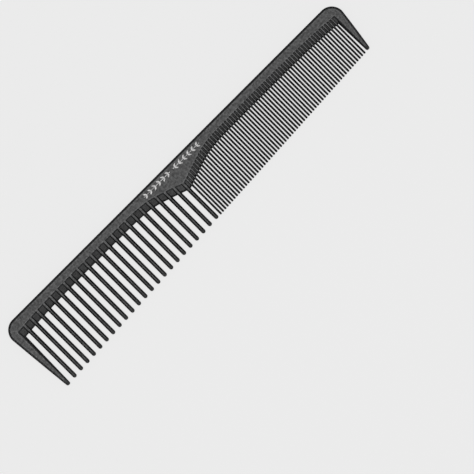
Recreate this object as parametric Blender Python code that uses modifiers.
"""A barber's cutting comb: a flat bar with wide-set coarse teeth along one half and close-set fine teeth
along the other, and a solid guard at each end.

Frame: +X runs along the comb from the coarse end to the fine end, +Y towards the back, +Z up. The comb lies
flat with its parting plane horizontal, and its underside is at z = 0. A "depth" below is measured from the
back edge towards the tips of the teeth.
"""

import math

import bmesh
import bpy
from mathutils import Matrix

MM = 0.001

# Overall size
LENGTH = 178.1 * MM
WIDTH = 32.9 * MM
THICKNESS = 3.8 * MM
CORNER_RADIUS = 5.55 * MM
BACK_ROUNDING = 0.9 * MM
GAP = 0.3 * MM

# The faces are parallel down to this depth, and then close in towards the tips
TAPER_START = 3.65 * MM
TIP_THICKNESS = 1.6 * MM

# Coarse teeth
COARSE_COUNT = 23
COARSE_FIRST_X = -81.74 * MM
COARSE_PITCH = 3.687 * MM
COARSE_WIDTH = 1.68 * MM
COARSE_RIDGE = 0.45 * MM

# Fine teeth, in banks that share one stretch of web
FINE_COUNT = 63
FINE_FIRST_X = 1.53 * MM
FINE_PITCH = 1.3266 * MM
FINE_WIDTH = 0.84 * MM
FINE_RIDGE = 0.2 * MM
FINE_PER_BANK = 7
BANK_WEB = 1.0 * MM

# Every tooth is this thick at the parting plane before its sides lean in
PARTING_LAND = 0.2 * MM

# The straight line that the tips lie on
TIP_DEPTH_FIRST = 32.63 * MM
TIP_LINE_SLOPE = 0.056

# The line that the slots end on: straight, with a V where the two sets of teeth meet and a fall at each end
GULLET_DEPTH = 6.78 * MM
VALLEY_X = -0.07 * MM
VALLEY_DEPTH = 5.74 * MM
VALLEY_SLOPE = 0.368
VALLEY_SOFTNESS = 1.89 * MM
FALL_DEPTH = 1.56 * MM
FALL_SLOPE = 0.115
FALL_SOFTNESS = 1.48 * MM

# The web between the teeth slopes down from the flat face of the bar to this height above the parting plane
WEB_DEPTH = 3.42 * MM
WEB_EDGE = 0.75 * MM
SLOT_OVERRUN = 0.4 * MM

# Guards: how the outer side leans in, and how far the inner side is from the end of the comb
COARSE_GUARD = {"lean": 0.088, "curl": 0.3, "inner_root": 4.77 * MM, "inner_tip": 4.25 * MM}
FINE_GUARD = {"lean": 0.12, "curl": 1.2, "inner_root": 4.52 * MM, "inner_tip": 4.05 * MM}
GUARD_ROOT_DRAFT = 1.1 * MM
GUARD_TIP_DRAFT = 0.5 * MM
GUARD_TIP_RADIUS = 0.7 * MM
FINE_GUARD_EXCESS = 0.1 * MM

# The bar is in lengths that meet in slots near the bends in its front edge, given by the teeth beside them
COARSE_CUTS = (1.5, 17.5)
FINE_CUTS = (10.5, 55.5)

# Steps round the curved outlines
CORNER_STEPS = 10
FRONT_STEP = 1.5 * MM
BANK_STEPS = 8
BACK_SEGMENTS = 4
COARSE_TIP_ANGLES = (0, 30, 60, 84)
FINE_TIP_ANGLES = (0, 45, 80)
GUARD_TIP_ANGLES = (30, 60, 84)
GUARD_STEPS = 6

RESIN_COLOUR = (0.022, 0.022, 0.024, 1.0)
RESIN_ROUGHNESS = 0.42

TAPER_SLOPE = (THICKNESS - TIP_THICKNESS) / 2 / (WIDTH - TAPER_START)
WEB_SLOPE = (THICKNESS / 2 - WEB_EDGE) / WEB_DEPTH


# ---------------------------------------------------------------- the lines that shape the comb


def soft_ramp(value, softness):
    """The larger of value and 0, with the corner between them rounded."""
    return 0.5 * (value + math.hypot(value, softness))


def gullet_depth(x):
    """How deep the web reaches at x, where the slots between the teeth end."""
    valley = soft_ramp(VALLEY_DEPTH - VALLEY_SLOPE * abs(x - VALLEY_X), VALLEY_SOFTNESS)
    fall = soft_ramp(FALL_DEPTH - FALL_SLOPE * (LENGTH / 2 - abs(x)), FALL_SOFTNESS)
    return GULLET_DEPTH + valley + fall


def tip_depth(x):
    return TIP_DEPTH_FIRST - TIP_LINE_SLOPE * (x - COARSE_FIRST_X)


def half_thickness(depth):
    return THICKNESS / 2 - TAPER_SLOPE * max(0.0, depth - TAPER_START)


def outer_inset(guard, depth):
    """How far the outer side of a guard has leaned in at a depth, from the end of the comb."""
    below = max(0.0, depth - CORNER_RADIUS)
    return guard["lean"] * below + guard["curl"] * below**2


def y_at(depth):
    return WIDTH / 2 - depth


def coarse_x(index):
    return COARSE_FIRST_X + COARSE_PITCH * index


def fine_x(index):
    return FINE_FIRST_X + FINE_PITCH * index


# ---------------------------------------------------------------- scene


def clear_scene():
    for item in list(bpy.data.objects):
        bpy.data.objects.remove(item)


def new_collection(name):
    collection = bpy.data.collections.new(name)
    bpy.context.scene.collection.children.link(collection)
    return collection


def resin_material(name):
    material = bpy.data.materials.new(name)
    material.use_nodes = True
    shader = material.node_tree.nodes["Principled BSDF"]
    shader.inputs["Base Color"].default_value = RESIN_COLOUR
    shader.inputs["Roughness"].default_value = RESIN_ROUGHNESS
    shader.inputs["Metallic"].default_value = 0.0
    return material


def new_object(name, mesh, collection):
    """An object whose mesh is centred on the parting plane, lifted so that the comb's underside is at 0."""
    item = bpy.data.objects.new(name, mesh)
    item.location.z = THICKNESS / 2
    collection.objects.link(item)
    return item


def finish_part(item):
    """Gives a part its own material, and smooth shading between its sharp edges."""
    item.data.materials.clear()
    item.data.materials.append(resin_material(item.name + "_resin"))
    item.data.shade_smooth()
    item.data.set_sharp_from_angle(angle=math.radians(35))


def new_cutter(name, mesh, cutters):
    cutter = new_object(name, mesh, cutters)
    cutter.hide_render = True
    cutter.display_type = "WIRE"
    return cutter


def add_boolean(item, cutter, operation):
    modifier = item.modifiers.new(cutter.name, "BOOLEAN")
    modifier.operation = operation
    modifier.solver = "EXACT"
    modifier.object = cutter


# ---------------------------------------------------------------- ways to make a solid


def add_hull(bm, points):
    """Adds the convex hull of the points to the mesh."""
    verts = [bm.verts.new(point) for point in points]
    result = bmesh.ops.convex_hull(bm, input=verts)
    spare = [g for g in result["geom_interior"] if isinstance(g, bmesh.types.BMVert)]
    bmesh.ops.delete(bm, geom=spare, context="VERTS")


def mesh_from(bm, name):
    bmesh.ops.recalc_face_normals(bm, faces=bm.faces)
    mesh = bpy.data.meshes.new(name)
    bm.to_mesh(mesh)
    bm.free()
    return mesh


def hull_mesh(name, point_groups):
    """A mesh with one convex body for each group of points."""
    bm = bmesh.new()
    for points in point_groups:
        add_hull(bm, points)
    return mesh_from(bm, name)


def loft_mesh(name, rings):
    """A closed body through rings of the same number of points, with a face at each end."""
    bm = bmesh.new()
    rows = [[bm.verts.new(point) for point in ring] for ring in rings]
    for row, following in zip(rows, rows[1:]):
        for i, vert in enumerate(row):
            j = (i + 1) % len(row)
            bm.faces.new((vert, row[j], following[j], following[i]))
    bm.faces.new(rows[0])
    bm.faces.new(rows[-1])
    return mesh_from(bm, name)


def slab_mesh(name, outline):
    """A flat plate of the comb's thickness with the given outline, made from a filled 2D curve."""
    curve = bpy.data.curves.new(name, "CURVE")
    curve.dimensions = "2D"
    curve.fill_mode = "BOTH"
    curve.extrude = THICKNESS / 2
    spline = curve.splines.new("POLY")
    spline.points.add(len(outline) - 1)
    for point, (x, y) in zip(spline.points, outline):
        point.co = (x, y, 0.0, 1.0)
    spline.use_cyclic_u = True
    guide = bpy.data.objects.new(name, curve)
    bpy.context.scene.collection.objects.link(guide)
    graph = bpy.context.evaluated_depsgraph_get()
    filled = bpy.data.meshes.new_from_object(guide.evaluated_get(graph))
    bpy.data.objects.remove(guide)
    bm = bmesh.new()
    bm.from_mesh(filled)
    bmesh.ops.remove_doubles(bm, verts=bm.verts, dist=0.001 * MM)
    bmesh.ops.dissolve_limit(bm, angle_limit=math.radians(0.1), verts=bm.verts, edges=bm.edges)
    return mesh_from(bm, name)


# ---------------------------------------------------------------- the bar


def end_outline(guard, sign):
    """One end of the bar, from the back edge round the corner and down the side to the gullet line."""
    points = []
    for i in range(CORNER_STEPS + 1):
        turn = math.pi / 2 * i / CORNER_STEPS
        x = LENGTH / 2 - CORNER_RADIUS + CORNER_RADIUS * math.sin(turn)
        points.append((sign * x, y_at(CORNER_RADIUS - CORNER_RADIUS * math.cos(turn))))
    depth = gullet_depth(LENGTH / 2)
    points.append((sign * (LENGTH / 2 - outer_inset(guard, depth)), y_at(depth)))
    return points


def front_outline(start, end, short):
    """The bar's front edge from one x to another, this far short of the gullet line."""
    steps = math.ceil((end - start) / FRONT_STEP)
    xs = [start + (end - start) * i / steps for i in range(steps + 1)]
    return [(x, y_at(gullet_depth(x) - short)) for x in xs]


def back_point(x):
    return (x, y_at(0.0))


def spine_outlines():
    """The outline of each length of the bar, by name. Beside the fine banks it stops short of their web."""
    half = GAP / 2
    first, second = (coarse_x(place) for place in COARSE_CUTS)
    third, fourth = (fine_x(place) for place in FINE_CUTS)
    short = BANK_WEB + GAP
    bank_start = FINE_FIRST_X - FINE_WIDTH / 2 - GAP
    bank_end = LENGTH / 2 - FINE_GUARD["inner_root"] - GAP
    coarse_end = front_outline(-LENGTH / 2 + COARSE_GUARD["inner_root"], first - half, 0.0)
    coarse = front_outline(first + half, second - half, 0.0)
    throat = front_outline(second + half, bank_start, 0.0) + front_outline(bank_start, third - half, short)
    fine = front_outline(third + half, fourth - half, short)
    fine_end = front_outline(fourth + half, bank_end, short) + [(bank_end, y_at(gullet_depth(bank_end)))]
    return {
        "spine_coarse_end": end_outline(COARSE_GUARD, -1) + coarse_end + [back_point(first - half)],
        "spine_coarse": [back_point(first + half)] + coarse + [back_point(second - half)],
        "spine_throat": [back_point(second + half)] + throat + [back_point(third - half)],
        "spine_fine": [back_point(third + half)] + fine + [back_point(fourth - half)],
        "spine_fine_end": [back_point(fourth + half)] + fine_end + end_outline(FINE_GUARD, 1)[::-1],
    }


def weight_back_edges(mesh):
    """Marks the rim of the back and of the two ends for rounding."""
    weights = mesh.attributes.new("bevel_weight_edge", "FLOAT", "EDGE")
    near = 0.1 * MM
    for edge in mesh.edges:
        a, b = (mesh.vertices[i].co for i in edge.vertices)
        level = abs(a.z - b.z) < near
        end = min(abs(a.x), abs(b.x)) > LENGTH / 2 - CORNER_RADIUS / 10
        back = min(a.y, b.y) > y_at(CORNER_RADIUS) - near
        weights.data[edge.index].value = 1.0 if level and (back or end) else 0.0


def taper_cutter(side, cutters):
    """A block whose near face is the tapered face of the comb, above (side 1) or below (side -1)."""
    bpy.ops.mesh.primitive_cube_add(size=1.0)
    block = bpy.context.object
    mesh = block.data
    mesh.transform(Matrix.Translation((0.0, -0.5, 0.5 * side)))
    bpy.data.objects.remove(block)
    cutter = new_cutter("taper_above" if side > 0 else "taper_below", mesh, cutters)
    cutter.scale = (LENGTH * 1.2, WIDTH * 1.5, THICKNESS)
    cutter.location = (0.0, y_at(TAPER_START), THICKNESS / 2 + side * THICKNESS / 2)
    cutter.rotation_euler.x = side * math.atan(TAPER_SLOPE)
    return cutter


def slot_list():
    """Each slot's two sides: x at the parting plane, and how far the side leans out by the ridges' top."""
    sides = [(-LENGTH / 2 + COARSE_GUARD["inner_root"], GUARD_ROOT_DRAFT)]
    teeth = [(coarse_x(i), COARSE_WIDTH, COARSE_RIDGE) for i in range(COARSE_COUNT)]
    teeth += [(fine_x(i), FINE_WIDTH, FINE_RIDGE) for i in range(FINE_COUNT)]
    for centre, width, ridge in teeth:
        draft = (width - ridge) / 2
        sides.append((centre - width / 2, draft))
        sides.append((centre + width / 2, draft))
    sides.append((LENGTH / 2 - FINE_GUARD["inner_root"], GUARD_ROOT_DRAFT))
    return list(zip(sides[0::2], sides[1::2]))


def slot_root_points(left, right, side):
    """The corners of what one slot's root takes out of the bar's upper (side 1) or lower (side -1) face."""
    points = []
    for (x, draft), outwards in ((left, -1), (right, 1)):
        gullet = gullet_depth(x)
        for z in (WEB_EDGE, THICKNESS / 2 + SLOT_OVERRUN):
            lean = outwards * draft * z / (THICKNESS / 2)
            back = gullet - (z - WEB_EDGE) / WEB_SLOPE
            points.append((x + lean, y_at(back), side * z))
            points.append((x + lean, y_at(gullet + WEB_DEPTH), side * z))
    return points


def slot_roots_cutter(name, outline, side, cutters):
    """What the slots take out of one length of the bar."""
    low = min(x for x, _ in outline)
    high = max(x for x, _ in outline)
    roots = []
    for left, right in slot_list():
        if right[0] > low and left[0] < high:
            roots.append(slot_root_points(left, right, side))
    return new_cutter(name, hull_mesh(name, roots), cutters)


def make_spine(parts, cutters):
    tapers = {side: taper_cutter(side, cutters) for side in (1, -1)}
    for name, outline in spine_outlines().items():
        mesh = slab_mesh(name, outline)
        weight_back_edges(mesh)
        length = new_object(name, mesh, parts)
        rounding = length.modifiers.new("rounded_back", "BEVEL")
        rounding.limit_method = "WEIGHT"
        rounding.width = BACK_ROUNDING
        rounding.segments = BACK_SEGMENTS
        for side, place in ((1, "above"), (-1, "below")):
            add_boolean(length, tapers[side], "DIFFERENCE")
            roots = slot_roots_cutter(f"{name}_slots_{place}", outline, side, cutters)
            add_boolean(length, roots, "DIFFERENCE")
        finish_part(length)


# ---------------------------------------------------------------- teeth


def tooth_section(x, depth, width, ridge, height):
    """A tooth's cross-section: narrow flat ridges above and below, and drafted sides between them."""
    parting = min(PARTING_LAND, height / 2)
    right = [(ridge / 2, height), (width / 2, parting), (width / 2, -parting), (ridge / 2, -height)]
    left = [(-across, up) for across, up in reversed(right)]
    return [(x + across, y_at(depth), up) for across, up in right + left]


def tooth_points(x, start_depth, width, ridge, tip_angles):
    """The sections of one tooth, from its root to its rounded tip."""
    shoulder = tip_depth(x) - width / 2
    points = tooth_section(x, start_depth, width, ridge, half_thickness(start_depth))
    for angle in tip_angles:
        narrow = math.cos(math.radians(angle))
        depth = shoulder + width / 2 * math.sin(math.radians(angle))
        height = half_thickness(depth) * (0.3 + 0.7 * narrow)
        points += tooth_section(x, depth, width * narrow, ridge * narrow, height)
    return points


def deepest_gullet(x, width):
    """The depth of the gullet line at the deeper side of a tooth."""
    return max(gullet_depth(x - width / 2), gullet_depth(x + width / 2))


def make_coarse_teeth(parts):
    for i in range(COARSE_COUNT):
        x = coarse_x(i)
        start = deepest_gullet(x, COARSE_WIDTH) + GAP
        points = tooth_points(x, start, COARSE_WIDTH, COARSE_RIDGE, COARSE_TIP_ANGLES)
        name = f"coarse_tooth_{i + 1:02d}"
        finish_part(new_object(name, hull_mesh(name, [points]), parts))


def bank_web_ring(x):
    """The cross-section, at x, of the web that joins a bank of fine teeth."""
    gullet = gullet_depth(x)
    back, front = y_at(gullet - BANK_WEB), y_at(gullet)
    high = WEB_EDGE + BANK_WEB * WEB_SLOPE
    return [(x, back, high), (x, front, WEB_EDGE), (x, front, -WEB_EDGE), (x, back, -high)]


def make_fine_bank(number, parts, cutters):
    """A bank of fine teeth on its own stretch of web. The end banks stop at the side of their last tooth."""
    first = (number - 1) * FINE_PER_BANK
    centres = [fine_x(first + i) for i in range(FINE_PER_BANK)]
    between = (FINE_PITCH - GAP) / 2
    low = centres[0] - (FINE_WIDTH / 2 if first == 0 else between)
    high = centres[-1] + (FINE_WIDTH / 2 if first + FINE_PER_BANK == FINE_COUNT else between)
    rings = [bank_web_ring(low + (high - low) * i / BANK_STEPS) for i in range(BANK_STEPS + 1)]
    prongs = []
    for x in centres:
        start = deepest_gullet(x, FINE_WIDTH) - BANK_WEB
        prongs.append(tooth_points(x, start, FINE_WIDTH, FINE_RIDGE, FINE_TIP_ANGLES))
    name = f"fine_teeth_{number}"
    bank = new_object(name, loft_mesh(name, rings), parts)
    add_boolean(bank, new_cutter(name + "_prongs", hull_mesh(name + "_prongs", prongs), cutters), "UNION")
    finish_part(bank)


# ---------------------------------------------------------------- guards


def guard_section(guard, sign, depth, share, narrow):
    """A guard's cross-section, a share of the way to its tip: round outside and drafted inside."""
    inner = guard["inner_root"] + (guard["inner_tip"] - guard["inner_root"]) * share
    outer = outer_inset(guard, depth)
    middle = (inner + outer) / 2
    half_width = (inner - outer) / 2 * narrow
    outer, inner = middle - half_width, middle + half_width
    height = half_thickness(depth) * (0.4 + 0.6 * narrow)
    rounding = min(BACK_ROUNDING, height * 0.6, half_width * 0.8)
    draft = min(GUARD_ROOT_DRAFT + (GUARD_TIP_DRAFT - GUARD_ROOT_DRAFT) * share, half_width)
    upper = [(inner, min(PARTING_LAND, height / 2)), (inner - draft, height)]
    for i in range(BACK_SEGMENTS):
        turn = math.pi / 2 * i / (BACK_SEGMENTS - 1)
        across = outer + rounding * (1 - math.sin(turn))
        upper.append((across, height - rounding * (1 - math.cos(turn))))
    section = upper + [(across, -up) for across, up in reversed(upper)]
    return [(sign * (LENGTH / 2 - across), y_at(depth), up) for across, up in section]


def make_guard(name, guard, sign, tip, parts):
    start = gullet_depth(LENGTH / 2) + GAP
    shoulder = tip - GUARD_TIP_RADIUS
    stations = [(start + (shoulder - start) * i / GUARD_STEPS, 1.0) for i in range(GUARD_STEPS + 1)]
    for angle in GUARD_TIP_ANGLES:
        turn = math.radians(angle)
        stations.append((shoulder + GUARD_TIP_RADIUS * math.sin(turn), 0.25 + 0.75 * math.cos(turn)))
    points = []
    for depth, narrow in stations:
        points += guard_section(guard, sign, depth, (depth - start) / (tip - start), narrow)
    finish_part(new_object(name, hull_mesh(name, [points]), parts))


def main():
    clear_scene()
    parts = new_collection("cutting_comb")
    cutters = new_collection("cutters")
    make_spine(parts, cutters)
    make_guard("coarse_end_guard", COARSE_GUARD, -1, WIDTH, parts)
    make_guard("fine_end_guard", FINE_GUARD, 1, tip_depth(LENGTH / 2) + FINE_GUARD_EXCESS, parts)
    make_coarse_teeth(parts)
    for number in range(1, FINE_COUNT // FINE_PER_BANK + 1):
        make_fine_bank(number, parts, cutters)


main()
